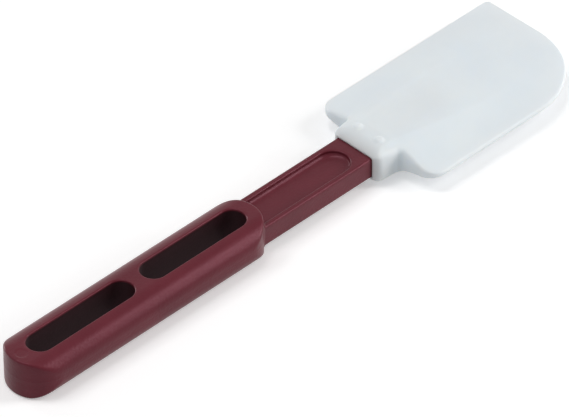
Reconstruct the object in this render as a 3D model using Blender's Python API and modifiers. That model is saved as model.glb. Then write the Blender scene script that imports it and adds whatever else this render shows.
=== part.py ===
# Kitchen scraper spatula: a two-slot grip and shaft moulded as one handle, and a silicone blade
# over its tongue. Lengths are in metres. +X runs from the grip's end to the blade's tip, +Z is up,
# and the grip lies flat on z = 0.

import math

import bmesh
import bpy
import numpy as np

# Overall
OVERALL_LENGTH = 0.3430
FIT_GAP = 0.0003

# Grip
GRIP_LENGTH = 0.1500
GRIP_WIDTH = 0.0320
GRIP_HEIGHT = 0.0205
GRIP_ROLL_ACROSS = 0.0100
GRIP_ROLL_DOWN = 0.0080
GRIP_EDGE_ROUND = 0.0010
SLOT_LENGTH = 0.0624
SLOT_WIDTH = 0.0132
SLOT_BRIDGE = 0.0076
SLOT_FRONT_WALL = 0.0074
SLOT_RIM_ROUND = 0.0009

# Shaft, from the grip's round front to the blade's mouth
SHAFT_LENGTH = 0.0650
SHAFT_WIDTH = 0.0223
SHAFT_HEIGHT = 0.0112
SHAFT_EDGE_ROUND = 0.0005
SHAFT_ROOT_FILLET = 0.0030
RECESS_WIDTH = 0.0166
RECESS_DEPTH = 0.0028
RECESS_RIM_ROUND = 0.0004
RECESS_FLOOR_FILLET = 0.0022
RECESS_END_LAND = 0.0059

# Tongue inside the blade
MOUTH_DEPTH = 0.0040
TONGUE_LENGTH = 0.0520
TONGUE_WIDTH = 0.0200
TONGUE_TIP_WIDTH = 0.0150
TONGUE_THICKNESS = 0.0060
TONGUE_TIP_THICKNESS = 0.0034
LOCK_HOLE_DIAMETER = 0.0042
LOCK_HOLE_SPACING = 0.0138
LOCK_HOLE_SETBACK = 0.0092

# Blade in plan
BLADE_WIDTH = 0.0745
NECK_LENGTH = 0.0136
NECK_WIDTH = 0.0327
NECK_FILLET = 0.0024
SHOULDER_RADIUS = 0.0084
TIP_SQUARE_RADIUS = 0.0025
TIP_ROUND_RADIUS = 0.0416

# Blade in section
COLLAR_RIM = 0.0009
COLLAR_RIM_ROUND = 0.0003
COLLAR_CORNER_RADIUS = 0.0008
COLLAR_SWELL_LENGTH = 0.0036
COLLAR_SWELL = 0.0027
COLLAR_RISE_LENGTH = 0.0070
NECK_EDGE_ROUND = 0.0024
NECK_ROUND_RUN = 0.0026
SPINE_THICKNESS = 0.0184
SPINE_ROOT_WIDTH = 0.0214
SPINE_TIP_WIDTH = 0.0374
FLANGE_HOLLOW = 0.0008
EDGE_THICKNESS = 0.0026
EDGE_ROUND = 0.0010
TIP_THICKNESS = 0.0024
BUTTON_DIAMETER = 0.0050
BUTTON_HEIGHT = 0.0009

# How quickly a curve leaves its start before it levels out: 1 is a straight line
SWELL_POWER = 2.2
RISE_POWER = 1.8
SPREAD_POWER = 2.6

# How finely the round shapes are cut
ARC_STEPS = 6
CORNER_STEPS = 2
FLARE_STEPS = 9
FLARE_CROWDING = 1.5
SIDE_STEPS = 9
TIP_STEPS = 16
ROUND_STEPS = 24
ROW_STEPS = 5
SPINE_ROW_STEPS = 2
BALL_SUBDIVISIONS = 4
BEVEL_SEGMENTS = 2
SHARP_ANGLE = math.radians(60)

# Between the outline and the middle line, the crease keeps to this part of the room
CREASE_ROOM = (0.3, 0.7)

# Places that follow from the sizes
REAR_X = -OVERALL_LENGTH / 2
TIP_X = OVERALL_LENGTH / 2
GRIP_FRONT_X = REAR_X + GRIP_LENGTH
SEAM_X = GRIP_FRONT_X + SHAFT_LENGTH
MID_Z = GRIP_HEIGHT / 2
LOBE_RADIUS = GRIP_WIDTH / 2
FRONT_LOBE_X = GRIP_FRONT_X - LOBE_RADIUS
REAR_LOBE_X = REAR_X + LOBE_RADIUS
FRONT_SLOT_X = GRIP_FRONT_X - SLOT_FRONT_WALL - SLOT_LENGTH / 2
REAR_SLOT_X = FRONT_SLOT_X - SLOT_LENGTH - SLOT_BRIDGE
TONGUE_ROOT_X = SEAM_X + MOUTH_DEPTH
TONGUE_TIP_X = TONGUE_ROOT_X + TONGUE_LENGTH
LOCK_HOLE_X = SEAM_X + LOCK_HOLE_SETBACK
SHOULDER_X = SEAM_X + NECK_LENGTH
HALF_BLADE = BLADE_WIDTH / 2
HALF_NECK = NECK_WIDTH / 2
RIM_HALF_WIDTH = SHAFT_WIDTH / 2 + COLLAR_RIM
RIM_HALF_HEIGHT = SHAFT_HEIGHT / 2 + COLLAR_RIM


def clear_scene():
    for obj in list(bpy.data.objects):
        bpy.data.objects.remove(obj, do_unlink=True)


def new_collection(name):
    collection = bpy.data.collections.new(name)
    bpy.context.scene.collection.children.link(collection)
    return collection


def new_material(name, colour, roughness):
    material = bpy.data.materials.new(name)
    material.use_nodes = True
    shader = material.node_tree.nodes["Principled BSDF"]
    shader.inputs["Base Color"].default_value = (*colour, 1.0)
    shader.inputs["Roughness"].default_value = roughness
    shader.inputs["Metallic"].default_value = 0.0
    return material


def add_object(name, mesh, collection, place=(0.0, 0.0, 0.0)):
    obj = bpy.data.objects.new(name, mesh)
    collection.objects.link(obj)
    obj.location = place
    return obj


def as_helper(obj):
    obj.hide_render = True
    obj.display_type = "WIRE"
    return obj


def arc_points(centre, radius, start, end, steps):
    """Points on a plan arc, from one angle to the other."""
    angles = np.linspace(start, end, steps + 1)
    return np.stack([centre[0] + radius * np.cos(angles), centre[1] + radius * np.sin(angles)], axis=1)


def line_points(start, end, steps):
    """Points from start to end, without the two ends."""
    share = np.linspace(0.0, 1.0, steps + 1)[1:-1, None]
    return np.array(start) + (np.array(end) - np.array(start)) * share


def stadium_points(rear_x, front_x, radius):
    """A slot outline: two half circles joined by straight sides. The places are the circles' centres."""
    front = arc_points((front_x, 0.0), radius, -math.pi / 2, math.pi / 2, ROUND_STEPS)
    rear = arc_points((rear_x, 0.0), radius, math.pi / 2, 3 * math.pi / 2, ROUND_STEPS)
    return np.concatenate([front, rear])


def tidy_mesh(mesh):
    """Welds points that lie on one another, turns every face outward and shades the mesh smooth."""
    shape = bmesh.new()
    shape.from_mesh(mesh)
    bmesh.ops.remove_doubles(shape, verts=shape.verts, dist=0.000001)
    bmesh.ops.recalc_face_normals(shape, faces=shape.faces)
    shape.to_mesh(mesh)
    shape.free()
    mesh.shade_smooth()


def outline_solid(name, points, depth, collection):
    """A flat outline, filled and extruded by half its depth each way, as a welded mesh."""
    curve = bpy.data.curves.new(name + "_outline", "CURVE")
    curve.dimensions = "2D"
    curve.fill_mode = "BOTH"
    curve.extrude = depth / 2
    spline = curve.splines.new("POLY")
    spline.points.add(len(points) - 1)
    for point, place in zip(spline.points, points):
        point.co = (place[0], place[1], 0.0, 1.0)
    spline.use_cyclic_u = True
    drawn = bpy.data.objects.new(name + "_drawn", curve)
    collection.objects.link(drawn)
    graph = bpy.context.evaluated_depsgraph_get()
    mesh = bpy.data.meshes.new_from_object(drawn.evaluated_get(graph))
    bpy.data.objects.remove(drawn, do_unlink=True)
    tidy_mesh(mesh)
    mesh.name = name
    return add_object(name, mesh, collection, (0.0, 0.0, MID_Z))


def cylinder(name, radius, depth, place, collection):
    mesh = bpy.data.meshes.new(name)
    shape = bmesh.new()
    bmesh.ops.create_cone(
        shape, cap_ends=True, segments=ROUND_STEPS, radius1=radius, radius2=radius, depth=depth
    )
    shape.to_mesh(mesh)
    shape.free()
    return add_object(name, mesh, collection, place)


def ball(name, radius, place, collection):
    mesh = bpy.data.meshes.new(name)
    shape = bmesh.new()
    bmesh.ops.create_icosphere(shape, subdivisions=BALL_SUBDIVISIONS, radius=radius)
    shape.to_mesh(mesh)
    shape.free()
    return add_object(name, mesh, collection, place)


def tapered_bar(name, rear, front, collection):
    """A bar whose rear and front sections are each (x, width, height), centred on the middle plane."""
    mesh = bpy.data.meshes.new(name)
    shape = bmesh.new()
    bmesh.ops.create_cube(shape, size=1.0)
    for vertex in shape.verts:
        end_x, width, height = front if vertex.co.x > 0 else rear
        vertex.co = (end_x, vertex.co.y * width, vertex.co.z * height)
    shape.to_mesh(mesh)
    shape.free()
    return add_object(name, mesh, collection, (0.0, 0.0, MID_Z))


def boolean(obj, other, operation):
    modifier = obj.modifiers.new(operation.capitalize() + " " + other.name, "BOOLEAN")
    modifier.operation = operation
    modifier.solver = "EXACT"
    modifier.object = other


def skin(name, grids, collection, loop=False):
    """One closed mesh from grids of points that meet along their edges.

    A loop's last column joins its first.
    """
    points = []
    faces = []
    for grid in grids:
        rows, columns = grid.shape[:2]
        index = np.arange(rows * columns).reshape(rows, columns) + sum(map(len, points))
        after = np.roll(index, -1, axis=1)
        sides = np.stack([index[:-1], after[:-1], after[1:], index[1:]], axis=-1)
        faces += sides[:, : columns if loop else columns - 1].reshape(-1, 4).tolist()
        if loop:
            faces += [index[0].tolist(), index[-1].tolist()]
        points.append(grid.reshape(-1, 3))
    mesh = bpy.data.meshes.new(name)
    mesh.from_pydata(np.concatenate(points).tolist(), [], faces)
    tidy_mesh(mesh)
    return add_object(name, mesh, collection, (0.0, 0.0, MID_Z))


def slot_solid(name, rear_x, front_x, radius, levels, collection):
    """A slot cutter: the outline at each level, a (height, outset) pair, with walls and flat ends."""
    rings = []
    for height, outset in levels:
        ring = stadium_points(rear_x, front_x, radius + outset)
        rings.append(np.column_stack([ring, np.full(len(ring), height)]))
    return as_helper(skin(name, [np.stack(rings)], collection, loop=True))


def quarter_round(radius):
    """A quarter circle as distances along and distances still to go, from its tangent end on."""
    turn = np.linspace(0.0, math.pi / 2, ARC_STEPS // 2 + 1)
    return radius * (1 - np.cos(turn)), radius * (1 - np.sin(turn))


def plate_half(outline, edge_round, crease, spine, half_height):
    """One side of a plate: its skin over and under, from the spine line out to an outline with rounded edges.

    Points of the outline, the crease and the spine match one to one. The rows in from the outline follow it
    round the edge's quarter circle, run straight to the crease, and then to the spine.
    """
    steps = np.diff(outline, axis=0)
    steps /= np.linalg.norm(steps, axis=1)[:, None]
    # Each outline starts and ends on the line where the two sides meet, running straight across it.
    across = (0.0, np.sign(steps[0, 1]))
    back = (0.0, np.sign(steps[-1, 1]))
    along = np.concatenate([[across], steps[:-1] + steps[1:], [back]])
    along /= np.linalg.norm(along, axis=1)[:, None]
    inward = np.stack([-along[:, 1], along[:, 0]], axis=1)
    inward *= np.sign(np.sum(inward * (spine - outline), axis=1).sum())
    turn = np.linspace(0.0, math.pi / 2, ARC_STEPS // 2 + 1)
    rows = [outline + inward * (edge_round * (1 - math.cos(a)))[:, None] for a in turn]
    drops = [edge_round * (1 - math.sin(a)) for a in turn]
    level = np.zeros(len(outline))
    for start, end, steps in ((rows[-1], crease, ROW_STEPS), (crease, spine, SPINE_ROW_STEPS)):
        for share in np.linspace(0.0, 1.0, steps + 1)[1:]:
            rows.append(start + (end - start) * share)
            drops.append(level)
    plan = np.stack(rows)
    height = half_height(plan[..., 0], plan[..., 1]) - np.stack(drops)
    top = np.concatenate([plan, height[..., None]], axis=-1)
    return np.concatenate([top[::-1], top * (1, 1, -1)]).transpose(1, 0, 2)


def grip_half_height(x, y):
    """Half the grip's height: flat over the middle, rolling off to the sides as a quarter ellipse."""
    flat = GRIP_WIDTH / 2 - GRIP_ROLL_ACROSS
    share = np.clip((np.abs(y) - flat) / GRIP_ROLL_ACROSS, 0.0, 1.0)
    return GRIP_HEIGHT / 2 - GRIP_ROLL_DOWN * (1 - np.sqrt(1 - share**2))


def make_grip(helpers):
    """The grip's body: a plan with round ends and upright end walls under a section with rolled sides."""
    front = arc_points((FRONT_LOBE_X, 0.0), LOBE_RADIUS, 0.0, math.pi / 2, ROUND_STEPS // 2)
    rear = arc_points((REAR_LOBE_X, 0.0), LOBE_RADIUS, math.pi / 2, math.pi, ROUND_STEPS // 2)
    sides = []
    for way in (1, -1):
        outline = np.concatenate([front, line_points(front[-1], rear[0], ARC_STEPS), rear]) * (1, way)
        spine_x = np.clip(outline[:, 0], REAR_LOBE_X, FRONT_LOBE_X)
        spine = np.column_stack([spine_x, np.zeros(len(outline))])
        crease = spine + (outline - spine) * (1 - GRIP_ROLL_ACROSS / LOBE_RADIUS)
        edge = np.full(len(outline), GRIP_EDGE_ROUND)
        sides.append(plate_half(outline, edge, crease, spine, grip_half_height))
    return as_helper(skin("grip_body", sides, helpers))


def shaft_outline():
    """Plan of the shaft: straight sides that sweep out through a fillet onto the grip's round front."""
    half = SHAFT_WIDTH / 2
    reach = LOBE_RADIUS + SHAFT_ROOT_FILLET
    centre_y = half + SHAFT_ROOT_FILLET
    centre_x = FRONT_LOBE_X + math.sqrt(reach**2 - centre_y**2)
    touch = math.atan2(-centre_y, FRONT_LOBE_X - centre_x)
    sweep = arc_points((centre_x, centre_y), SHAFT_ROOT_FILLET, -math.pi / 2, touch, ARC_STEPS)
    upper = np.concatenate([[(TONGUE_ROOT_X, half)], sweep, [(FRONT_LOBE_X, sweep[-1][1])]])
    return np.concatenate([upper, upper[::-1] * (1, -1)])


def make_recess(name, way, helpers):
    """The shallow trough in a face of the shaft: it runs under the grip's front and ends in a half circle."""
    radius = RECESS_WIDTH / 2
    face = SHAFT_HEIGHT / 2
    floor = quarter_round(RECESS_FLOOR_FILLET)
    rim = quarter_round(RECESS_RIM_ROUND)
    levels = [(face - RECESS_DEPTH + rise, -inset) for rise, inset in zip(*floor)]
    levels += [(face - to_go, outset) for outset, to_go in zip(*rim)]
    levels += [(face + RECESS_DEPTH, RECESS_RIM_ROUND)]
    levels = [(height * way, outset) for height, outset in levels]
    front_x = SEAM_X - RECESS_END_LAND - radius
    return slot_solid(name, FRONT_LOBE_X, front_x, radius, levels, helpers)


def make_slot(name, middle_x, helpers):
    """A slot right through the grip, its two rims rounded over."""
    radius = SLOT_WIDTH / 2
    reach = SLOT_LENGTH / 2 - radius
    face = GRIP_HEIGHT / 2
    outsets, to_go = quarter_round(SLOT_RIM_ROUND)
    top = [(face - depth, outset) for outset, depth in zip(outsets, to_go)] + [(GRIP_HEIGHT, outsets[-1])]
    levels = [(-height, outset) for height, outset in top[::-1]] + top
    return slot_solid(name, middle_x - reach, middle_x + reach, radius, levels, helpers)


def make_tongue(name, grow, helpers):
    """The tongue that the blade is moulded on, with its two lock holes.

    Grown by the fit gap, it is the pocket.
    """
    rear = (TONGUE_ROOT_X - MOUTH_DEPTH / 2, TONGUE_WIDTH + 2 * grow, TONGUE_THICKNESS + 2 * grow)
    front = (TONGUE_TIP_X + grow, TONGUE_TIP_WIDTH + 2 * grow, TONGUE_TIP_THICKNESS + 2 * grow)
    tongue = tapered_bar(name, rear, front, helpers)
    for side, label in ((1, "left"), (-1, "right")):
        place = (LOCK_HOLE_X, side * LOCK_HOLE_SPACING / 2, MID_Z)
        radius = LOCK_HOLE_DIAMETER / 2 - grow
        hole = cylinder(f"{name}_{label}_hole", radius, SPINE_THICKNESS, place, helpers)
        boolean(tongue, as_helper(hole), "DIFFERENCE")
    return as_helper(tongue)


def make_handle(parts, helpers):
    """Grip, shaft and tongue in one moulding.

    The recesses go in before the grip is joined on, so that the grip's front stays whole.
    """
    handle = outline_solid("handle", shaft_outline(), SHAFT_HEIGHT, parts)
    fillet = handle.modifiers.new("Edge round", "BEVEL")
    fillet.width = SHAFT_EDGE_ROUND
    fillet.segments = BEVEL_SEGMENTS
    fillet.limit_method = "ANGLE"
    fillet.angle_limit = SHARP_ANGLE
    boolean(handle, make_recess("top_recess", 1, helpers), "DIFFERENCE")
    boolean(handle, make_recess("under_recess", -1, helpers), "DIFFERENCE")
    boolean(handle, make_grip(helpers), "UNION")
    boolean(handle, make_slot("rear_slot", REAR_SLOT_X, helpers), "DIFFERENCE")
    boolean(handle, make_slot("front_slot", FRONT_SLOT_X, helpers), "DIFFERENCE")
    boolean(handle, make_tongue("tongue", 0.0, helpers), "UNION")
    return handle


def falling(share, power):
    """A curve from 0 to 1 that rises quickly and flattens out."""
    return 1.0 - (1.0 - np.clip(share, 0.0, 1.0)) ** power


def smooth_step(share):
    """A curve from 0 to 1 that starts and ends level."""
    share = np.clip(share, 0.0, 1.0)
    return share**2 * (3 - 2 * share)


def spine_half_height(x):
    """The spine thins evenly from the shoulder to the tip."""
    along = np.clip((x - SHOULDER_X) / (TIP_X - SHOULDER_X), 0.0, 1.0)
    return along, SPINE_THICKNESS / 2 + (TIP_THICKNESS - SPINE_THICKNESS) / 2 * along


def spine_half_width(along):
    """The spine widens quickly in front of the shoulder and then keeps its width."""
    return (SPINE_ROOT_WIDTH + (SPINE_TIP_WIDTH - SPINE_ROOT_WIDTH) * falling(along, SPREAD_POWER)) / 2


def blade_half_height(x, y):
    """Half the blade's thickness: the lower of the spine, which rises from the collar's rim, and the flange.

    The flange runs from the spine's edge to the blade's edge, hollowed by a shallow parabola that fades
    out towards the tip.
    """
    along, spine = spine_half_height(x)
    risen = falling((x - SEAM_X) / COLLAR_RISE_LENGTH, RISE_POWER)
    collar = RIM_HALF_HEIGHT + (spine - RIM_HALF_HEIGHT) * risen
    crease = spine_half_width(along)
    out = (np.abs(y) - crease) / (HALF_BLADE - crease)
    edge = EDGE_THICKNESS / 2
    flange = edge + (spine - edge) * (1 - out) - 4 * FLANGE_HOLLOW * (1 - along) * out * (1 - out)
    return np.minimum(collar, flange)


def blade_outline(tip_radius, meeting):
    """Half the blade's plan, from the middle of the mouth to the meeting point on the tip's straight edge.

    It returns (x, distance out) points and the radius of the rounded edge at each of them.
    """
    corner = COLLAR_CORNER_RADIUS
    lean = math.atan(COLLAR_SWELL * SWELL_POWER / COLLAR_SWELL_LENGTH)
    corner_length = corner * (1 - math.sin(lean))
    share = np.linspace(0.0, 1.0, FLARE_STEPS + 1) ** FLARE_CROWDING
    flare_x = (NECK_LENGTH - NECK_FILLET - corner_length) * share
    swell = COLLAR_SWELL * falling(flare_x / COLLAR_SWELL_LENGTH, SWELL_POWER)
    spread = (HALF_NECK - RIM_HALF_WIDTH - COLLAR_SWELL) * flare_x / flare_x[-1]
    flare = np.stack([SEAM_X + corner_length + flare_x, RIM_HALF_WIDTH + swell + spread], axis=1)
    up, out = math.pi / 2, math.pi
    mouth_corner = arc_points(
        (SEAM_X + corner, RIM_HALF_WIDTH - corner * math.cos(lean)), corner, out, up + lean, CORNER_STEPS
    )
    neck_fillet = arc_points(
        (SHOULDER_X - NECK_FILLET, HALF_NECK + NECK_FILLET), NECK_FILLET, -up, 0.0, ARC_STEPS
    )
    shoulder = arc_points(
        (SHOULDER_X + SHOULDER_RADIUS, HALF_BLADE - SHOULDER_RADIUS), SHOULDER_RADIUS, out, up, ARC_STEPS
    )
    tip = arc_points((TIP_X - tip_radius, HALF_BLADE - tip_radius), tip_radius, up, 0.0, TIP_STEPS)
    pieces = [
        [(SEAM_X, 0.0)],
        line_points((SEAM_X, 0.0), mouth_corner[0], ARC_STEPS),
        mouth_corner,
        flare[1:],
        neck_fillet[1:],
        line_points(neck_fillet[-1], shoulder[0], ARC_STEPS),
        shoulder,
        line_points(shoulder[-1], tip[0], SIDE_STEPS),
        tip,
        line_points(tip[-1], (TIP_X, meeting), ARC_STEPS),
        [(TIP_X, meeting)],
    ]
    plan = np.concatenate(pieces)
    rounds = np.clip(blade_half_height(*plan.T) / 2, EDGE_ROUND, NECK_EDGE_ROUND)
    behind = smooth_step((plan[:, 0] - SEAM_X) / NECK_ROUND_RUN)
    return plan, COLLAR_RIM_ROUND + (rounds - COLLAR_RIM_ROUND) * behind


def blade_crease(spine, outline, way):
    """Points on the spine's edge, between the spine line and the outline."""
    along = spine_half_height(spine[:, 0])[0]
    room = np.abs(outline[:, 1] - spine[:, 1])
    least, most = CREASE_ROOM
    across = np.clip(spine_half_width(along) - way * spine[:, 1], room * least, room * most)
    return np.stack([spine[:, 0], spine[:, 1] + way * across], axis=1)


def blade_skin(parts):
    """The blade's skin: its square-cornered side and its round-cornered side, which meet along the spine."""
    meeting_y = (TIP_ROUND_RADIUS - TIP_SQUARE_RADIUS) / 2
    sides = []
    shares = []
    for way, tip_radius in ((1, TIP_SQUARE_RADIUS), (-1, TIP_ROUND_RADIUS)):
        plan, rounds = blade_outline(tip_radius, way * meeting_y)
        travelled = np.cumsum(np.linalg.norm(np.diff(plan, axis=0, prepend=plan[:1]), axis=1))
        shares.append((travelled / travelled[-1] + (plan[:, 0] - SEAM_X) / (TIP_X - SEAM_X)) / 2)
        sides.append((way, plan * (1, way), rounds))
    share = np.mean(shares, axis=0)
    inset = EDGE_THICKNESS
    spine_x = SEAM_X + inset + (TIP_X - SEAM_X - 2 * inset) * share
    spine = np.stack([spine_x, meeting_y * share**3], axis=1)
    grids = []
    for way, outline, rounds in sides:
        crease = blade_crease(spine, outline, way)
        grids.append(plate_half(outline, rounds, crease, spine, blade_half_height))
    return skin("blade", grids, parts)


def make_blade(parts, helpers):
    """The blade's skin with its low round buttons, less the mouth for the shaft and the tongue's pocket."""
    blade = blade_skin(parts)
    mouth_size = (SHAFT_WIDTH + 2 * FIT_GAP, SHAFT_HEIGHT + 2 * FIT_GAP)
    mouth = tapered_bar(
        "mouth", (SEAM_X - MOUTH_DEPTH, *mouth_size), (TONGUE_ROOT_X + FIT_GAP, *mouth_size), helpers
    )
    boolean(blade, as_helper(mouth), "DIFFERENCE")
    ball_radius = ((BUTTON_DIAMETER / 2) ** 2 + BUTTON_HEIGHT**2) / (2 * BUTTON_HEIGHT)
    top = float(blade_half_height(LOCK_HOLE_X, LOCK_HOLE_SPACING / 2)) + BUTTON_HEIGHT
    for side, label in ((1, "left"), (-1, "right")):
        for way, face in ((1, "top"), (-1, "under")):
            place = (LOCK_HOLE_X, side * LOCK_HOLE_SPACING / 2, MID_Z + way * (top - ball_radius))
            button = ball(f"{face}_{label}_button", ball_radius, place, helpers)
            boolean(blade, as_helper(button), "UNION")
    boolean(blade, make_tongue("pocket", FIT_GAP, helpers), "DIFFERENCE")
    return blade


def main():
    clear_scene()
    parts = new_collection("silicone_spatula")
    helpers = new_collection("cutters")
    handle = make_handle(parts, helpers)
    handle.data.materials.append(new_material("maroon nylon", (0.130, 0.025, 0.036), 0.38))
    blade = make_blade(parts, helpers)
    blade.data.materials.append(new_material("white silicone", (0.70, 0.75, 0.78), 0.45))
    for obj in (handle, blade):
        shading = obj.modifiers.new("Flat faces stay flat", "WEIGHTED_NORMAL")
        shading.keep_sharp = True


main()
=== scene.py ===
import math

import bmesh
import bpy
import numpy as np
from mathutils import Matrix


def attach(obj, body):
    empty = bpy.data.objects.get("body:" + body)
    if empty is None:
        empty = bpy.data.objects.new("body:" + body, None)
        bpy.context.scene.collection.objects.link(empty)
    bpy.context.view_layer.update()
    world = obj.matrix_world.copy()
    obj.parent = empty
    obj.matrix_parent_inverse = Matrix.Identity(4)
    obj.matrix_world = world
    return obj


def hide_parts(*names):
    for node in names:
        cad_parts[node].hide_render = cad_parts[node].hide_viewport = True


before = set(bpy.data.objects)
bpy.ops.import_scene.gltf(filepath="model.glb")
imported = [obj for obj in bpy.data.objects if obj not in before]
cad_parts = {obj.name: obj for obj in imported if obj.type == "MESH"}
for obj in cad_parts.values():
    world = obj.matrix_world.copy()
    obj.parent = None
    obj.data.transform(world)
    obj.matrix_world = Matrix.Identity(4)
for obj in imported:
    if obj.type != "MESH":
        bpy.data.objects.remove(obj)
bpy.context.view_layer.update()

mm = 0.001
print("frame loaded:", sorted(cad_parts))


# Shared by both mouldings, in millimetres. x runs from the grip's end (0) to the blade's tip, and z runs up
# from the middle plane.
common = {
    "length": 343.0,
    "middleHeight": 10.25,  # of the middle plane above the table
    "seam": 215.0,          # where the blade's mouth meets the shaft
    "shaftWidth": 22.3,
    "shaftHeight": 11.2,
    "mouthDepth": 4.0,      # how far the shaft goes on inside the blade
    "gap": 0.3,             # room between the two mouldings
    "weld": 0.002,          # mesh points closer than this become one
    "sliver": 0.001,        # mesh edges shorter than this are dissolved
}


# paths: rows of (x, y) points

def arcPath(centre, radius, start, end, steps):
    # x = cx + r cos(turn), y = cy + r sin(turn), angles in degrees
    turn = np.radians(np.linspace(start, end, steps + 1))
    return np.stack([centre[0] + radius * np.cos(turn), centre[1] + radius * np.sin(turn)], axis=1)


def straightPath(start, end, steps):
    # P = (1 - s) A + s B
    share = np.linspace(0.0, 1.0, steps + 1)[:, None]
    return (1 - share) * np.array(start, float) + share * np.array(end, float)


def joinPaths(*paths):
    # the next path starts where the last one ends, so its first point is left out
    return np.concatenate([paths[0]] + [path[1:] for path in paths[1:]])


def inwardOf(path, spine):
    # square to the path at each point, on the side where the spine is
    steps = np.diff(path, axis=0)
    steps /= np.linalg.norm(steps, axis=1)[:, None]
    along = np.concatenate([steps[:1], steps[:-1] + steps[1:], steps[-1:]])
    along /= np.linalg.norm(along, axis=1)[:, None]
    inward = np.stack([-along[:, 1], along[:, 0]], axis=1)
    return inward * np.sign((inward * (spine - path)).sum())


def sharesAfter(steps):
    # 1/n, 2/n ... 1, for rows that follow on from one that is there already
    return np.linspace(0.0, 1.0, steps + 1)[1:]


def ruled(fromPath, toPath, shares):
    # rows of points straight across from one path to the other: P = (1 - s) A + s B
    shares = shares[:, None, None]
    return (1 - shares) * fromPath + shares * toPath


def quarter(steps):
    # (1 - cos, 1 - sin) round a quarter turn: how far in, and how far down, a unit rounded edge has come
    turn = np.linspace(0.0, math.pi / 2, steps + 1)
    return 1 - np.cos(turn), 1 - np.sin(turn)


def smoothStep(share):
    # 0 to 1 with a level start and end: 3 s^2 - 2 s^3
    share = np.clip(share, 0.0, 1.0)
    return share * share * (3 - 2 * share)


def falling(share, power):
    # 0 to 1, quick at first and then flattening out: 1 - (1 - s)^power
    return 1.0 - (1.0 - np.clip(share, 0.0, 1.0)) ** power


def softMin(a, b, width):
    # the smaller of two heights, with the crease between them rounded over about that width
    share = np.clip(0.5 + 0.5 * (b - a) / width, 0.0, 1.0)
    return b + (a - b) * share - width * share * (1 - share)


# meshes: grids of (x, y, z) points in millimetres, welded where they meet

def buildMesh(name, grids):
    # each grid is (rows, columns, 3); a mirrored copy below the middle plane closes the shape
    points, faces, count = [], [], 0
    for grid in grids:
        for side in (1, -1):
            rows, columns = grid.shape[:2]
            index = np.arange(rows * columns).reshape(rows, columns) + count
            quads = np.stack([index[:-1, :-1], index[:-1, 1:], index[1:, 1:], index[1:, :-1]], axis=-1)
            points.append((grid * (1, 1, side)).reshape(-1, 3))
            faces.append(quads.reshape(-1, 4))
            count += rows * columns
    world = np.concatenate(points) * mm
    world += (-common["length"] / 2 * mm, 0.0, common["middleHeight"] * mm)
    mesh = bpy.data.meshes.new(name)
    mesh.from_pydata(world, [], np.concatenate(faces))
    tidyMesh(mesh)
    obj = bpy.data.objects.new(name, mesh)
    bpy.context.scene.collection.objects.link(obj)
    return obj


def tidyMesh(mesh):
    work = bmesh.new()
    work.from_mesh(mesh)
    bmesh.ops.remove_doubles(work, verts=work.verts, dist=common["weld"] * mm)
    bmesh.ops.dissolve_degenerate(work, edges=work.edges, dist=common["sliver"] * mm)
    bmesh.ops.recalc_face_normals(work, faces=work.faces)
    work.to_mesh(mesh)
    work.free()


def combine(obj, other, operation):
    # joins or cuts two closed meshes, keeps the result as the object's own mesh and drops the other
    modifier = obj.modifiers.new(operation, "BOOLEAN")
    modifier.operation = operation
    modifier.solver = "MANIFOLD"
    modifier.object = other
    graph = bpy.context.evaluated_depsgraph_get()
    made = bpy.data.meshes.new_from_object(obj.evaluated_get(graph))
    obj.modifiers.clear()
    obj.data = made
    bpy.data.objects.remove(other, do_unlink=True)


def smoothOver(obj, sharpAngle):
    # smooth shading, broken only at edges that turn by more than the angle in degrees
    obj.data.shade_smooth()
    obj.data.set_sharp_from_angle(angle=math.radians(sharpAngle))


# handle

handleShape = {
    "gripLength": 150.0,
    "gripWidth": 32.0,
    "gripHeight": 20.5,
    "rollAcross": 10.0,    # how far in from the side the top starts to roll off
    "rollDown": 8.0,
    "edgeRound": 1.0,
    "slotLength": 62.4,
    "slotWidth": 13.2,
    "slotBridge": 7.6,     # between the two slots
    "slotFrontWall": 7.4,
    "slotRimRound": 0.9,
    # the round mark behind the rear slot: x, y, radius, depth and the width of its edge
    "pinMark": (5.3, 0.0, 2.9, 0.2, 0.8),
    "partingLine": 0.02,   # how far the mould's parting line stands proud
    # its section: heights above the middle plane, each with the share of the rise that is reached there
    "partingSection": ((0.32, 0.0), (0.12, 0.85), (0.0, 1.0)),
    "shaftEdgeRound": 1.0,
    "shaftSunk": 0.8,      # how far from the front slot the shaft's hidden end stays
    "shaftOverlap": 0.08,  # how far inside the grip's round end the shaft's fillets start
    "rootFillet": 3.0,     # between the shaft's sides and the grip's end wall
    "topFillet": 1.3,      # between the shaft's face and the grip's end wall
    "pastFillet": 0.5,     # how far past that fillet the close columns of the mesh go on
    "recessWidth": 16.6,
    "recessDepth": 2.8,
    "recessRimRound": 0.8,
    "recessCove": (2.3, 3.6),  # how far the hollow walls reach in at the sides, and at the end
    "recessEndLand": 5.9,
    "tongueLength": 52.0,
    "tongueWidth": (20.0, 15.0),    # at its root and at its end
    "tongueThickness": (6.0, 3.4),
    "tongueRound": 0.5,
    "tongueSunk": 1.0,     # how far its root goes into the shaft's end
    "lockHole": 4.2,
    "lockHoleSpacing": 13.8,
    "lockHoleSetback": 9.2,
    "sharpAngle": 38,
}


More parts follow.
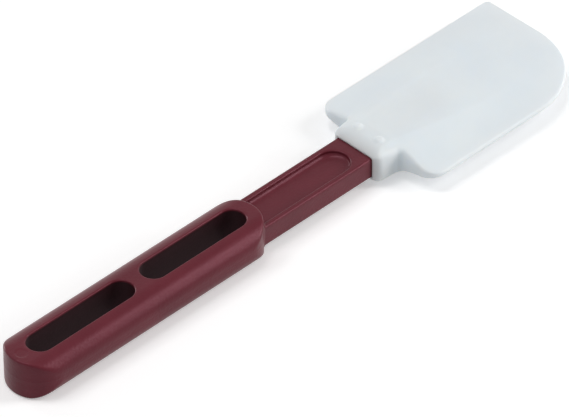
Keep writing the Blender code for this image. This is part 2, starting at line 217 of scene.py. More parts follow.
def gripTop(plan):
    # half height of the grip: flat in the middle, then a quarter ellipse down to the side, less a shallow
    # round mark: height - down (1 - sqrt(1 - s^2)) - depth (3 t^2 - 2 t^3)
    sizes = handleShape
    x, y = plan[..., 0], plan[..., 1]
    flat = sizes["gripWidth"] / 2 - sizes["rollAcross"]
    share = np.clip((np.abs(y) - flat) / sizes["rollAcross"], 0.0, 1.0)
    markX, markY, markRadius, markDepth, markEdge = sizes["pinMark"]
    mark = smoothStep((markRadius - np.hypot(x - markX, y - markY)) / markEdge + 0.5)
    return sizes["gripHeight"] / 2 - sizes["rollDown"] * (1 - np.sqrt(1 - share ** 2)) - markDepth * mark


def liftRows(planRows, heights):
    # rows of (x, y) and their heights, put together as rows of (x, y, z)
    return np.concatenate([planRows, np.broadcast_to(heights, planRows.shape[:2])[..., None]], axis=-1)


def gripHalf(bridgeX, lobeX, slotCentres, way):
    # one end of the grip, as a ring round its slot: slot wall, slot rim and top face, then the outer edge
    # and the end wall; way is -1 at the rear and 1 at the front
    sizes = handleShape
    half = sizes["gripWidth"] / 2
    inner = half - sizes["edgeRound"] - sizes["partingLine"]
    slot = sizes["slotWidth"] / 2
    near, far = slotCentres
    sideSteps, arcSteps, bridgeSteps = 44, 64, 30
    turn = (90, 270) if way < 0 else (90, -90)
    back = (-90, 90) if way < 0 else (270, 90)

    def ringPath(radius):
        return [straightPath((bridgeX, radius), (lobeX, radius), sideSteps),
                arcPath((lobeX, 0), radius, *turn, arcSteps),
                straightPath((lobeX, -radius), (bridgeX, -radius), sideSteps)]

    def slotPath(radius):
        return joinPaths(straightPath((near, radius), (far, radius), sideSteps),
                         arcPath((far, 0), radius, *turn, arcSteps),
                         straightPath((far, -radius), (near, -radius), sideSteps),
                         arcPath((near, 0), radius, *back, bridgeSteps))

    rimRound = sizes["slotRimRound"]
    insets, drops = quarter(7)
    rimTop = gripTop(slotPath(slot + rimRound))
    wallSteps, faceSteps, crowding = 6, 30, 0.9    # the rows crowd a little towards the outer edge
    rows = []
    for share in np.linspace(0.0, 1.0, wallSteps + 1)[:-1]:
        rows.append(liftRows(slotPath(slot)[None], (rimTop - rimRound) * share))
    for inset, drop in zip(insets, drops):
        row = slotPath(slot + rimRound * inset)
        rows.append(liftRows(row[None], gripTop(row) - rimRound * drop))
    outerEdge = joinPaths(*ringPath(inner), straightPath((bridgeX, -inner), (bridgeX, inner), bridgeSteps))
    face = ruled(row, outerEdge, sharesAfter(faceSteps) ** crowding)
    rows.append(liftRows(face, gripTop(face)))

    # the outer edge and the upright wall, set in a little, so that only the parting line's faint ridge
    # reaches the side
    outline = joinPaths(*ringPath(half))
    spine = outline * (1, 0)
    spine[:, 0] = np.clip(outline[:, 0], min(lobeX, bridgeX), max(lobeX, bridgeX))
    inward = outline - spine
    inward = -inward / np.linalg.norm(inward, axis=1)[:, None]
    wall = outline + inward * sizes["partingLine"]
    edge = []
    for inset, drop in zip(insets[::-1], drops[::-1]):
        row = wall + inward * sizes["edgeRound"] * inset
        edge.append(liftRows(row[None], gripTop(row) - sizes["edgeRound"] * drop))
    wallTop = edge[-1][0, :, 2]
    for share in (0.75, 0.5, 0.3):
        edge.append(liftRows(wall[None], wallTop * share))
    for height, proud in sizes["partingSection"]:
        edge.append(liftRows((wall - inward * sizes["partingLine"] * proud)[None], height))
    return [np.concatenate(rows), np.concatenate(edge)]


def gripShell():
    # the two ends, which meet in the middle of the bridge between the slots
    sizes = handleShape
    radius = sizes["gripWidth"] / 2
    slotEnd = sizes["slotWidth"] / 2
    frontEnd = sizes["gripLength"] - sizes["slotFrontWall"]
    frontStart = frontEnd - sizes["slotLength"]
    rearEnd = frontStart - sizes["slotBridge"]
    rearStart = rearEnd - sizes["slotLength"]
    bridgeX = (rearEnd + frontStart) / 2
    rear = gripHalf(bridgeX, radius, (rearEnd - slotEnd, rearStart + slotEnd), -1)
    front = gripHalf(bridgeX, sizes["gripLength"] - radius, (frontStart + slotEnd, frontEnd - slotEnd), 1)
    return buildMesh("grip", rear + front)


def filletRise(distance, radius):
    # height of a hollow quarter circle that leaves a flat face and climbs a wall, by distance d from the
    # wall: r - sqrt(r^2 - (r - d)^2)
    left = np.clip(radius - np.maximum(distance, 0.0), 0.0, radius)
    return radius - np.sqrt(radius ** 2 - left ** 2)


def shaftShell():
    # rows run from the side wall over the rounded edge to the trough's rim, down its wall and in to its
    # middle line
    sizes = handleShape
    lobeRadius = sizes["gripWidth"] / 2
    lobeX = sizes["gripLength"] - lobeRadius
    half = common["shaftWidth"] / 2
    face = common["shaftHeight"] / 2
    endX = common["seam"] + common["mouthDepth"]
    sunkX = sizes["gripLength"] - sizes["slotFrontWall"] + sizes["shaftSunk"]
    touch = lobeRadius - sizes["shaftOverlap"]
    # the columns stay close together until they are clear of the fillet against the grip's round end
    clearX = sizes["gripLength"] + sizes["topFillet"] + sizes["pastFillet"]
    filletSteps, fine, coarse, bend = 14, 44, 40, 32

    # the side fillet: an arc that touches the grip's round end and the shaft's side
    root = sizes["rootFillet"]
    centreY = half + root
    centreX = lobeX + math.sqrt((touch + root) ** 2 - centreY ** 2)
    touchAngle = math.degrees(math.atan2(-centreY, lobeX - centreX))
    sweep = arcPath((centreX, centreY), root, touchAngle, -90, filletSteps)

    recess = sizes["recessWidth"] / 2
    recessEnd = common["seam"] - sizes["recessEndLand"] - recess
    outer = joinPaths(straightPath((sunkX, sweep[0, 1]), sweep[0], fine - filletSteps), sweep,
                      straightPath(sweep[-1], (clearX, half), fine),
                      straightPath((clearX, half), (recessEnd, half), coarse),
                      straightPath((recessEnd, half), (endX, half), bend // 2),
                      straightPath((endX, half), (endX, 0.0), bend // 2))
    straightX = joinPaths(straightPath((sunkX, 0.0), (sweep[-1, 0], 0.0), fine),
                          straightPath((sweep[-1, 0], 0.0), (clearX, 0.0), fine),
                          straightPath((clearX, 0.0), (recessEnd, 0.0), coarse))[:, 0]
    bendTurn = np.radians(np.linspace(90, 0, bend + 1))[1:]

    def recessPath(radius):
        # beside the trough's middle line at that distance, and then round its end
        radius = np.broadcast_to(radius, (len(straightX) + bend,))
        run = np.stack([straightX, radius[:len(straightX)]], axis=1)
        bow = radius[len(straightX):]
        endBow = np.stack([recessEnd + bow * np.cos(bendTurn), bow * np.sin(bendTurn)], axis=1)
        return np.concatenate([run, endBow])

    middle = recessPath(0.0)
    inward = inwardOf(outer, middle)

    def topHeight(plan):
        # the shaft's face, with the fillet that climbs the grip's round end
        away = np.hypot(plan[..., 0] - lobeX, plan[..., 1]) - touch
        return face + filletRise(away, sizes["topFillet"])

    edgeRound, rimRound = sizes["shaftEdgeRound"], sizes["recessRimRound"]
    insets, drops = quarter(5)
    rows = []
    for share in (0.0, 0.35, 0.7):
        rows.append(liftRows(outer[None], (topHeight(outer) - edgeRound) * share))
    for inset, drop in zip(insets, drops):
        row = outer + inward * edgeRound * inset
        rows.append(liftRows(row[None], topHeight(row) - edgeRound * drop))
    rail = ruled(row, recessPath(recess + rimRound), sharesAfter(8))
    rows.append(liftRows(rail, topHeight(rail)))
    for inset, drop in zip(insets[::-1][1:], drops[::-1][1:]):
        row = recessPath(recess + rimRound * inset)
        rows.append(liftRows(row[None], topHeight(row) - rimRound * drop))

    # the trough's walls are coves, quarter ellipses from the rim down to the floor, longer at the far end
    sideReach, endReach = sizes["recessCove"]
    aroundEnd = np.concatenate([np.zeros(len(straightX)), np.cos(bendTurn) ** 2])
    reach = sideReach + (endReach - sideReach) * aroundEnd
    wallHeight = sizes["recessDepth"] - rimRound
    coveInsets, coveDrops = quarter(12)
    for inset, drop in zip(coveInsets[1:], coveDrops[1:]):
        row = recessPath(recess - reach * inset)
        rows.append(liftRows(row[None], topHeight(row) - sizes["recessDepth"] + wallHeight * drop))
    floor = ruled(row, middle, sharesAfter(18))
    rows.append(liftRows(floor, topHeight(floor) - sizes["recessDepth"]))
    top = np.concatenate(rows)
    # the end inside the grip is closed with a flat cap
    cap = np.stack([top[:, 0], top[:, 0] * (1, 1, 0)])
    return buildMesh("shaft", [top, top * (1, -1, 1), cap, cap * (1, -1, 1)])


def barShell(name, start, end, width, thickness, edge):
    # a tapered bar whose long edges are rounded: each section is a rounded rectangle, from the middle of
    # its side over the edge's quarter circle to the middle of its face, and a flat cap closes each end
    sections = 13
    shares = np.linspace(0.0, 1.0, sections)[:, None]
    halfWidth = (width[0] + (width[1] - width[0]) * shares) / 2
    halfThick = (thickness[0] + (thickness[1] - thickness[0]) * shares) / 2
    insets, drops = quarter(5)
    across = np.concatenate([halfWidth, halfWidth - edge * insets, 0.0 * shares], axis=1)
    up = np.concatenate([0.0 * shares, halfThick - edge * drops, halfThick], axis=1)
    along = np.broadcast_to(start + (end - start) * shares, across.shape)
    section = np.stack([along, across, up], axis=-1)
    capStart = np.stack([section[0], section[0] * (1, 0, 1)])
    capEnd = np.stack([section[-1], section[-1] * (1, 0, 1)])
    grids = [section, capStart, capEnd]
    return buildMesh(name, grids + [grid * (1, -1, 1) for grid in grids])


def pinShell(name, x, y, radius, halfLength):
    # an upright round pin: rings at the middle plane and at the end, then the end's centre
    sides = 32
    turn = np.radians(np.linspace(0, 360, sides + 1))
    ring = np.stack([x + radius * np.cos(turn), y + radius * np.sin(turn)], axis=1)
    middle = np.broadcast_to([[x, y]], ring.shape)
    rows = [liftRows(ring[None], 0.0), liftRows(ring[None], halfLength), liftRows(middle[None], halfLength)]
    return buildMesh(name, [np.concatenate(rows)])


def tongueShell(grow):
    # the tongue with its lock holes, or, grown by a gap, the room for it inside the blade
    sizes = handleShape
    start = common["seam"] + common["mouthDepth"] - sizes["tongueSunk"]
    end = common["seam"] + common["mouthDepth"] + sizes["tongueLength"] + grow
    width = [size + 2 * grow for size in sizes["tongueWidth"]]
    thickness = [size + 2 * grow for size in sizes["tongueThickness"]]
    tongue = barShell("tongue", start, end, width, thickness, sizes["tongueRound"])
    holeX = common["seam"] + sizes["lockHoleSetback"]
    for side in (1, -1):
        pin = pinShell("lockHole", holeX, side * sizes["lockHoleSpacing"] / 2,
                       sizes["lockHole"] / 2 - grow, sizes["tongueThickness"][0])
        combine(tongue, pin, "DIFFERENCE")
    return tongue


handle = gripShell()
combine(handle, shaftShell(), "UNION")
combine(handle, tongueShell(0.0), "UNION")
handle.name = "scraperHandle"
smoothOver(handle, handleShape["sharpAngle"])
print("handle:", len(handle.data.polygons), "faces")


# blade

bladeShape = {
    "width": 74.5,
    "neckLength": 13.6,
    "neckWidth": 32.7,
    "neckFillet": 2.4,
    "shoulderRadius": 8.4,
    "squareRadius": 2.5,
    "roundRadius": 41.6,
    "rimProud": 0.9,       # how far the collar's rim stands out from the shaft
    "rimRound": 0.35,
    "rimCorner": 0.8,
    "rimSwell": (3.6, 2.7),  # how far back, and how far out to the side, the collar swells behind its rim
    "swellPower": 2.2,       # the higher a power, the sooner its curve levels out
    "riseLength": 7.0,       # how far behind the rim the collar's top has risen to the spine
    "risePower": 1.8,
    "spreadPower": 2.6,
    "neckRound": 2.4,      # rounding of the long edges on the neck and at the root of the shoulders
    "neckRoundRun": 2.6,   # how far behind the rim that rounding is reached
    "spineThickness": 18.4,
    "spineHalfWidth": (10.7, 18.7),  # at the shoulder, and far out towards the tip
    "flangeHollow": 0.8,   # how deep the flange is hollowed at the shoulder
    "edgeThickness": 2.6,
    "edgeRound": 1.0,
    "tipThickness": 2.4,
    "creaseSoftness": (0.4, 0.9),    # at the shoulder and at the tip
    "creaseRoom": (0.3, 0.7),        # least and most share of the half width for the crease's row of points
    "button": (3.1, 2.2, 0.93),      # domes over the lock holes: foot radius, width of the slope, height
    "mouthRound": 1.1,
    "mouthAhead": 3.0,     # how far the cutter for the mouth stands out in front of the collar
    "sharpAngle": 40,
}


def spineTop(x):
    # share of the way from the shoulder to the tip, and the spine's half thickness, which falls evenly
    sizes = bladeShape
    shoulder = common["seam"] + sizes["neckLength"]
    along = np.clip((x - shoulder) / (common["length"] - shoulder), 0.0, 1.0)
    return along, (sizes["spineThickness"] + (sizes["tipThickness"] - sizes["spineThickness"]) * along) / 2


def creaseAt(along):
    # half width of the spine, which spreads quickly behind the shoulder and then levels out:
    # w0 + (w1 - w0) (1 - (1 - s)^p)
    near, far = bladeShape["spineHalfWidth"]
    return near + (far - near) * falling(along, bladeShape["spreadPower"])


def bladeTop(plan):
    # half thickness: the lower of two surfaces, plus two low domes. One is the thinning spine, which rises
    # from the collar's rim. The other is the flange, which runs straight from the spine at the crease to
    # the blade's edge, less a shallow parabola 4 h s (1 - s). A dome is height (3 t^2 - 2 t^3), with
    # t = (foot radius - distance) / slope.
    sizes = bladeShape
    x, y = plan[..., 0], np.abs(plan[..., 1])
    along, spine = spineTop(x)
    rimHeight = common["shaftHeight"] / 2 + sizes["rimProud"]
    risen = falling((x - common["seam"]) / sizes["riseLength"], sizes["risePower"])
    collar = rimHeight + (spine - rimHeight) * risen
    crease = creaseAt(along)
    out = (y - crease) / (sizes["width"] / 2 - crease)
    edge = sizes["edgeThickness"] / 2
    flange = edge + (spine - edge) * (1 - out) - 4 * sizes["flangeHollow"] * (1 - along) * out * (1 - out)
    softNear, softFar = sizes["creaseSoftness"]
    height = softMin(collar, flange, softNear + (softFar - softNear) * along)
    foot, slope, rise = sizes["button"]
    domeX = common["seam"] + handleShape["lockHoleSetback"]
    away = np.hypot(x - domeX, y - handleShape["lockHoleSpacing"] / 2)
    return height + rise * smoothStep((foot - away) / slope)


def bladeOutline(tipRadius, meeting):
    # half the plan, from the middle of the mouth to a point on the tip's straight edge, and the radius of
    # the edge's rounding along it
    sizes, seam, tip = bladeShape, common["seam"], common["length"]
    half, neck = sizes["width"] / 2, sizes["neckWidth"] / 2
    rimHalf = common["shaftWidth"] / 2 + sizes["rimProud"]
    fillet, shoulder = sizes["neckFillet"], sizes["shoulderRadius"]
    shoulderX = seam + sizes["neckLength"]

    # the neck's side: a quick swell behind the rim and a slow even spread, y = y0 + a (1 - (1 - s)^p) + c s
    swellBack, swellOut = sizes["rimSwell"]
    lean = math.atan(swellOut * sizes["swellPower"] / swellBack)
    corner = sizes["rimCorner"]
    cornerBack = corner * (1 - math.sin(lean))
    cornerY = rimHalf - corner * math.cos(lean)
    flareSteps, crowding = 44, 1.4    # the points crowd towards the rim, where the swell is quick
    back = (sizes["neckLength"] - fillet - cornerBack) * np.linspace(0.0, 1.0, flareSteps + 1) ** crowding
    swell = swellOut * falling(back / swellBack, sizes["swellPower"])
    spread = (neck - rimHalf - swellOut) * back / back[-1]
    flare = np.stack([seam + cornerBack + back, rimHalf + swell + spread], axis=1)

    plan = joinPaths(
        straightPath((seam, 0.0), (seam, cornerY), 60),
        arcPath((seam + corner, cornerY), corner, 180, 90 + math.degrees(lean), 8),
        flare,
        arcPath((shoulderX - fillet, neck + fillet), fillet, -90, 0, 14),
        straightPath((shoulderX, neck + fillet), (shoulderX, half - shoulder), 30),
        arcPath((shoulderX + shoulder, half - shoulder), shoulder, 180, 90, 20),
        straightPath((shoulderX + shoulder, half), (tip - tipRadius, half), 60),
        arcPath((tip - tipRadius, half - tipRadius), tipRadius, 90, 0, 60),
        straightPath((tip, half - tipRadius), (tip, meeting), 30),
    )
    # the edge's rounding: small on the collar's front rim, then half the half thickness, within limits
    rounds = np.clip(bladeTop(plan) / 2, sizes["edgeRound"], sizes["neckRound"])
    grown = smoothStep((plan[:, 0] - seam) / sizes["neckRoundRun"])
    return plan, sizes["rimRound"] + (rounds - sizes["rimRound"]) * grown


def shareAlong(plan):
    # how far along each point of an outline is: half by the way travelled, half by its x
    steps = np.linalg.norm(np.diff(plan, axis=0, prepend=plan[:1]), axis=1)
    travelled = np.cumsum(steps)
    seam, tip = common["seam"], common["length"]
    return (travelled / travelled[-1] + (plan[:, 0] - seam) / (tip - seam)) / 2


def bladeShell():
    # two sides that meet along the spine; on each, rows run from the outline over its rounded edge to the
    # crease between flange and spine, and on to the middle line, which bends towards the square corner,
    # y = m s^3, so that it ends on the tip's straight edge
    sizes, seam, tip = bladeShape, common["seam"], common["length"]
    meeting = (sizes["roundRadius"] - sizes["squareRadius"]) / 2
    sides = [(way, *bladeOutline(radius, way * meeting))
             for way, radius in ((1, sizes["squareRadius"]), (-1, sizes["roundRadius"]))]
    share = np.mean([shareAlong(plan) for way, plan, rounds in sides], axis=0)
    endRoom = sizes["edgeThickness"]
    spine = np.stack([seam + endRoom + (tip - seam - 2 * endRoom) * share, meeting * share ** 3], axis=1)
    creaseY = creaseAt(spineTop(spine[:, 0])[0])
    leastRoom, mostRoom = sizes["creaseRoom"]
    insets, drops = quarter(6)
    grids = []
    for way, plan, rounds in sides:
        outline = plan * (1, way)
        room = np.abs(outline[:, 1] - spine[:, 1])
        across = np.clip(creaseY - way * spine[:, 1], room * leastRoom, room * mostRoom)
        crease = np.stack([spine[:, 0], spine[:, 1] + way * across], axis=1)
        inward = inwardOf(outline, spine)
        rows = [liftRows(outline[None], 0.0)]
        for inset, drop in zip(insets, drops):
            row = outline + inward * (rounds * inset)[:, None]
            rows.append(liftRows(row[None], bladeTop(row) - rounds * drop))
        for start, end, steps in ((row, crease, 26), (crease, spine, 20)):
            flat = ruled(start, end, sharesAfter(steps))
            rows.append(liftRows(flat, bladeTop(flat)))
        grids.append(np.concatenate(rows))
    return buildMesh("blade", grids)


def mouthShell():
    # cuts the room for the shaft's end
    sizes = bladeShape
    width = common["shaftWidth"] + 2 * common["gap"]
    height = common["shaftHeight"] + 2 * common["gap"]
    start = common["seam"] - sizes["mouthAhead"]
    end = common["seam"] + common["mouthDepth"] + common["gap"]
    return barShell("mouth", start, end, (width, width), (height, height), sizes["mouthRound"])


blade = bladeShell()
combine(blade, mouthShell(), "DIFFERENCE")
combine(blade, tongueShell(common["gap"]), "DIFFERENCE")
blade.name = "scraperBlade"
smoothOver(blade, bladeShape["sharpAngle"])
print("blade:", len(blade.data.polygons), "faces")


# materials

def newMaterial(name):
    material = bpy.data.materials.new(name)
    material.use_nodes = True
    tree = material.node_tree
    return material, tree, tree.nodes["Principled BSDF"]


def noiseNode(tree, scale, detail, roughness=0.5, stretch=(1, 1, 1)):
    # noise on the piece's own coordinates; its spots are about 1 / scale metres across
    place = tree.nodes.new("ShaderNodeTexCoord")
    mapping = tree.nodes.new("ShaderNodeMapping")
    mapping.inputs["Scale"].default_value = stretch
    noise = tree.nodes.new("ShaderNodeTexNoise")
    noise.inputs["Scale"].default_value = scale
    noise.inputs["Detail"].default_value = detail
    noise.inputs["Roughness"].default_value = roughness
    tree.links.new(place.outputs["Object"], mapping.inputs["Vector"])
    tree.links.new(mapping.outputs["Vector"], noise.inputs["Vector"])
    return noise.outputs["Fac"]


def rampNode(tree, source, low, high, start, end):
    # a colour that goes from low to high as the source goes from start to end
    ramp = tree.nodes.new("ShaderNodeValToRGB")
    ramp.color_ramp.elements[0].position = start
    ramp.color_ramp.elements[1].position = end
    ramp.color_ramp.elements[0].color = (*low, 1.0)
    ramp.color_ramp.elements[1].color = (*high, 1.0)
    tree.links.new(source, ramp.inputs["Fac"])
    return ramp.outputs["Color"]


def mapNode(tree, source, low, high):
    # low where the source is 0, high where it is 1
    span = tree.nodes.new("ShaderNodeMapRange")
    span.inputs["To Min"].default_value = low
    span.inputs["To Max"].default_value = high
    tree.links.new(source, span.inputs["Value"])
    return span.outputs["Result"]


def bumpNode(tree, layer, strength, under=None):
    # a bump from noise, on top of the one under it; a layer is scale, detail, roughness and depth in metres
    scale, detail, roughness, depth = layer
    bump = tree.nodes.new("ShaderNodeBump")
    bump.inputs["Distance"].default_value = depth
    bump.inputs["Strength"].default_value = strength
    tree.links.new(noiseNode(tree, scale, detail, roughness), bump.inputs["Height"])
    if under is not None:
        tree.links.new(under, bump.inputs["Normal"])
    return bump.outputs["Normal"]


def insideBox(tree, centre, half, edge):
    # 1 inside a box on the object's own coordinates and 0 outside, with a soft edge: the largest of
    # |x - centre| / half, |y - centre| / half and |z - centre| / half is s, and the result falls from 1 at
    # s = 1 - edge to 0 at s = 1
    place = tree.nodes.new("ShaderNodeTexCoord")
    mapping = tree.nodes.new("ShaderNodeMapping")
    mapping.inputs["Location"].default_value = [-middle / reach for middle, reach in zip(centre, half)]
    mapping.inputs["Scale"].default_value = [1 / reach for reach in half]
    size = tree.nodes.new("ShaderNodeVectorMath")
    size.operation = "ABSOLUTE"
    parts = tree.nodes.new("ShaderNodeSeparateXYZ")
    tree.links.new(place.outputs["Object"], mapping.inputs["Vector"])
    tree.links.new(mapping.outputs["Vector"], size.inputs[0])
    tree.links.new(size.outputs["Vector"], parts.inputs["Vector"])
    furthest = parts.outputs["X"]
    for axis in ("Y", "Z"):
        larger = tree.nodes.new("ShaderNodeMath")
        larger.operation = "MAXIMUM"
        tree.links.new(furthest, larger.inputs[0])
        tree.links.new(parts.outputs[axis], larger.inputs[1])
        furthest = larger.outputs["Value"]
    fade = tree.nodes.new("ShaderNodeMapRange")
    fade.inputs["From Min"].default_value = 1.0 - edge
    fade.inputs["From Max"].default_value = 1.0
    fade.inputs["To Min"].default_value = 1.0
    fade.inputs["To Max"].default_value = 0.0
    tree.links.new(furthest, fade.inputs["Value"])
    return fade.outputs["Result"]


def mixNode(tree, share, first, second):
    # first where the share is 0, second where it is 1; either may be a socket or a plain colour
    mix = tree.nodes.new("ShaderNodeMix")
    mix.data_type = "RGBA"
    tree.links.new(share, mix.inputs["Factor"])
    for value, socket in ((first, mix.inputs["A"]), (second, mix.inputs["B"])):
        if isinstance(value, tuple):
            socket.default_value = (*value, 1.0)
        else:
            tree.links.new(value, socket)
    return mix.outputs["Result"]


nylonLook = {
    "darker": (0.100, 0.011, 0.018),
    "lighter": (0.124, 0.015, 0.024),
    # the slow change of shade: scale, detail, roughness and stretch of its noise
    "clouds": (38.0, 4.0, 0.55, (1, 2.2, 2.2)),
    "cloudRange": (0.35, 0.68),
    "roughness": (0.29, 0.38),
    "roughPatches": (260.0, 3.0),            # scale and detail
    "shine": 0.34,
    "shineTint": (1.0, 0.51, 0.62),
    "slotPaintedShade": (0.016, 0.004, 0.005),       # painted shade: the slots' walls are coloured near black to stand in for the shade inside them
    "slotRough": 0.62,
    "slotBox": (72.0, 7.2, 9.6),             # half sizes in millimetres of the soft box round both slots, inside which shade is painted and the roughness raised
    "slotBoxEdge": 0.08,
    # bumps: scale, detail, roughness and depth in metres
    "ripple": (55.0, 2.0, 0.5, 0.00005),     # the slow waviness of a thick moulding
    "mottle": (800.0, 2.0, 0.5, 0.00025),    # about a millimetre across
    "grain": (2600.0, 3.0, 0.6, 0.00001),    # the fine moulded grain
    "bumpStrength": 0.35,
}


def nylonMaterial():
    look, sizes = nylonLook, handleShape
    material, tree, shader = newMaterial("maroonNylon")
    clouds = noiseNode(tree, *look["clouds"])
    skinColour = rampNode(tree, clouds, look["darker"], look["lighter"], *look["cloudRange"])
    skinRough = mapNode(tree, noiseNode(tree, *look["roughPatches"]), *look["roughness"])

    bothSlots = sizes["slotLength"] * 2 + sizes["slotBridge"]
    middleX = sizes["gripLength"] - sizes["slotFrontWall"] - bothSlots / 2 - common["length"] / 2
    centre = (middleX * mm, 0.0, common["middleHeight"] * mm)
    half = [size * mm for size in look["slotBox"]]
    slotShadeAndRoughMask = insideBox(tree, centre, half, look["slotBoxEdge"])
    slotRough = (look["slotRough"],) * 3
    # painted shade: inside the slot box the colour is darkened towards near black, standing in for the
    # shade in the slots
    tree.links.new(mixNode(tree, slotShadeAndRoughMask, skinColour, look["slotPaintedShade"]), shader.inputs["Base Color"])
    tree.links.new(mixNode(tree, slotShadeAndRoughMask, skinRough, slotRough), shader.inputs["Roughness"])

    ripple = bumpNode(tree, look["ripple"], look["bumpStrength"])
    mottle = bumpNode(tree, look["mottle"], look["bumpStrength"], ripple)
    grain = bumpNode(tree, look["grain"], look["bumpStrength"], mottle)
    tree.links.new(grain, shader.inputs["Normal"])
    shader.inputs["Specular IOR Level"].default_value = look["shine"]
    shader.inputs["Specular Tint"].default_value = (*look["shineTint"], 1.0)
    return material


siliconeLook = {
    "darker": (0.800, 0.862, 0.915),
    "lighter": (0.842, 0.900, 0.950),
    "clouds": (30.0, 4.0, 0.5),              # the slow change of shade: scale, detail and roughness
    "cloudRange": (0.3, 0.7),
    "roughness": (0.42, 0.55),
    "roughPatches": (190.0, 3.0),            # scale and detail
    "grain": (1800.0, 3.0, 0.6, 0.00002),    # a bump: scale, detail, roughness and depth in metres
    "bumpStrength": 0.3,
    "glow": 0.7,                             # how much light goes in and comes out again
    "reach": (0.006, 0.0065, 0.007),         # how far it gets inside, in metres, for red, green and blue
    "refraction": 1.41,
}


def siliconeMaterial():
    look = siliconeLook
    material, tree, shader = newMaterial("paleSilicone")
    clouds = noiseNode(tree, *look["clouds"])
    colour = rampNode(tree, clouds, look["darker"], look["lighter"], *look["cloudRange"])
    tree.links.new(colour, shader.inputs["Base Color"])
    rough = mapNode(tree, noiseNode(tree, *look["roughPatches"]), *look["roughness"])
    tree.links.new(rough, shader.inputs["Roughness"])
    tree.links.new(bumpNode(tree, look["grain"], look["bumpStrength"]), shader.inputs["Normal"])
    shader.inputs["Subsurface Weight"].default_value = look["glow"]
    shader.inputs["Subsurface Radius"].default_value = look["reach"]
    shader.inputs["Subsurface Scale"].default_value = 1.0
    shader.inputs["IOR"].default_value = look["refraction"]
    return material


nylon = nylonMaterial()
silicone = siliconeMaterial()
for piece, node, material in ((handle, "handle", nylon), (blade, "blade", silicone)):
    piece.data.materials.clear()
    piece.data.materials.append(material)
    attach(piece, "root")
    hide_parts(node)
for name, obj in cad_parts.items():
    obj.data.materials.clear()
    obj.data.materials.append(nylon if name == "handle" else silicone)
print("materials set")


# camera: a long lens, 40 degrees above the table, with the grip's end nearest on the left

cameraSet = {
    "turn": 44.93,        # degrees, seen from above, from the picture's right to the spatula's length
    "height": 39.99,      # degrees above the table
    "distance": 2.973,    # metres from the target
    "lens": 409.96,       # and the sensor's width, in millimetres
    "sensor": 36.0,
    "clip": (0.1, 20.0),
    "target": (0.00368, 0.005486, 0.0),
}
turn, rise = math.radians(cameraSet["turn"]), math.radians(cameraSet["height"])
rightward = np.array([math.cos(turn), -math.sin(turn), 0.0])
backward = np.array([math.sin(turn), math.cos(turn), 0.0])
forward = backward * math.cos(rise) - np.array([0.0, 0.0, math.sin(rise)])
upward = backward * math.sin(rise) + np.array([0.0, 0.0, math.cos(rise)])
lens = bpy.data.cameras.new("camera")
lens.lens = cameraSet["lens"]
lens.sensor_width = cameraSet["sensor"]
lens.clip_start, lens.clip_end = cameraSet["clip"]
camera = bpy.data.objects.new("camera", lens)
bpy.context.scene.collection.objects.link(camera)
placed = np.eye(4)
placed[:3, 0], placed[:3, 1], placed[:3, 2] = rightward, upward, -forward
placed[:3, 3] = np.array(cameraSet["target"]) - forward * cameraSet["distance"]
camera.matrix_world = Matrix(placed.tolist())
bpy.context.scene.camera = camera


# floor, lamps and background

studio = {
    "floorHalf": 4.0,        # metres from its middle to its edges
    "floorLevel": -0.0001,   # just under the grip, so that the two faces don't coincide
    "floorShade": 0.9,
    "floorRoughness": 0.9,
    "floorLift": 0.33,       # glow that is only seen, also in reflections, so that the open floor is white
    "worldLight": 0.25,      # strength of the white world, which is seen at 1
    "lampDistance": 1.6,
    "lampWidth": 0.5,
    "lamps": [
        # name, turn from the picture's right and height above the table in degrees, watts
        ("leftLow", 140, 8, 6.2),
        ("leftHigh", 180, 58, 4.1),
        ("overhead", 180, 80, 4.5),
        ("rightLow", 0, 8, 4.2),
        ("rightMiddle", 0, 24, 4.9),
        ("rightHigh", 5, 42, 4.6),
        ("rightBack", 45, 10, 1.5),
    ],
}


def seenRays(tree):
    # 1 for rays straight from the camera, and for those that reach it by way of a reflection or through
    # clear material
    path = tree.nodes.new("ShaderNodeLightPath")
    total = path.outputs["Is Camera Ray"]
    for kind in ("Is Glossy Ray", "Is Transmission Ray"):
        either = tree.nodes.new("ShaderNodeMath")
        either.operation = "MAXIMUM"
        tree.links.new(total, either.inputs[0])
        tree.links.new(path.outputs[kind], either.inputs[1])
        total = either.outputs["Value"]
    return total


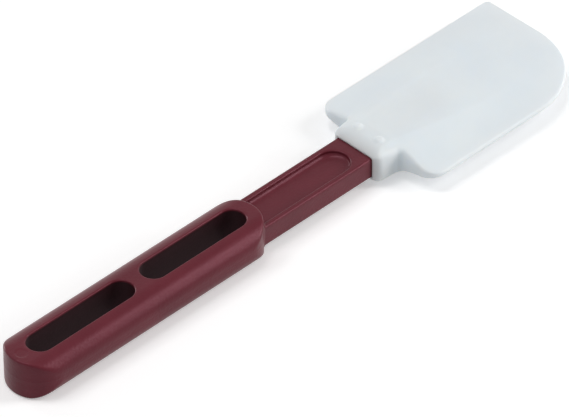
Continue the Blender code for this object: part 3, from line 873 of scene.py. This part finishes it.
def makeFloor():
    half, level = studio["floorHalf"], studio["floorLevel"]
    corners = [(-half, -half, level), (half, -half, level), (half, half, level), (-half, half, level)]
    mesh = bpy.data.meshes.new("floor")
    mesh.from_pydata(corners, [], [(0, 1, 2, 3)])
    plane = bpy.data.objects.new("floor", mesh)
    bpy.context.scene.collection.objects.link(plane)
    material, tree, shader = newMaterial("paleFloor")
    shader.inputs["Base Color"].default_value = (studio["floorShade"],) * 3 + (1.0,)
    shader.inputs["Roughness"].default_value = studio["floorRoughness"]
    shader.inputs["Specular IOR Level"].default_value = 0.0
    lift = tree.nodes.new("ShaderNodeMath")
    lift.operation = "MULTIPLY"
    lift.inputs[1].default_value = studio["floorLift"]
    tree.links.new(seenRays(tree), lift.inputs[0])
    shader.inputs["Emission Color"].default_value = (1.0, 1.0, 1.0, 1.0)
    tree.links.new(lift.outputs["Value"], shader.inputs["Emission Strength"])
    mesh.materials.append(material)
    return plane


def makeLamp(name, around, above, watts):
    # a round area lamp that faces the origin
    lamp = bpy.data.lights.new(name, "AREA")
    lamp.shape = "DISK"
    lamp.size = studio["lampWidth"]
    lamp.energy = watts
    around, above = math.radians(around), math.radians(above)
    away = (rightward * math.cos(around) + backward * math.sin(around)) * math.cos(above)
    away = away + np.array([0.0, 0.0, math.sin(above)])
    side = np.cross([0.0, 0.0, 1.0], away)
    side /= np.linalg.norm(side)
    pose = np.eye(4)
    pose[:3, 0], pose[:3, 1], pose[:3, 2] = side, np.cross(away, side), away
    pose[:3, 3] = away * studio["lampDistance"]
    head = bpy.data.objects.new(name, lamp)
    bpy.context.scene.collection.objects.link(head)
    head.matrix_world = Matrix(pose.tolist())


floor = makeFloor()
for name, around, above, watts in studio["lamps"]:
    makeLamp(name, around, above, watts)

world = bpy.data.worlds.new("studio")
bpy.context.scene.world = world
world.use_nodes = True
tree = world.node_tree
background = tree.nodes["Background"]
background.inputs["Color"].default_value = (1.0, 1.0, 1.0, 1.0)
seen = tree.nodes.new("ShaderNodeMapRange")
seen.inputs["To Min"].default_value = studio["worldLight"]
seen.inputs["To Max"].default_value = 1.0
tree.links.new(seenRays(tree), seen.inputs["Value"])
tree.links.new(seen.outputs["Result"], background.inputs["Strength"])
bpy.context.scene.view_settings.view_transform = "Standard"
print("camera and light set")
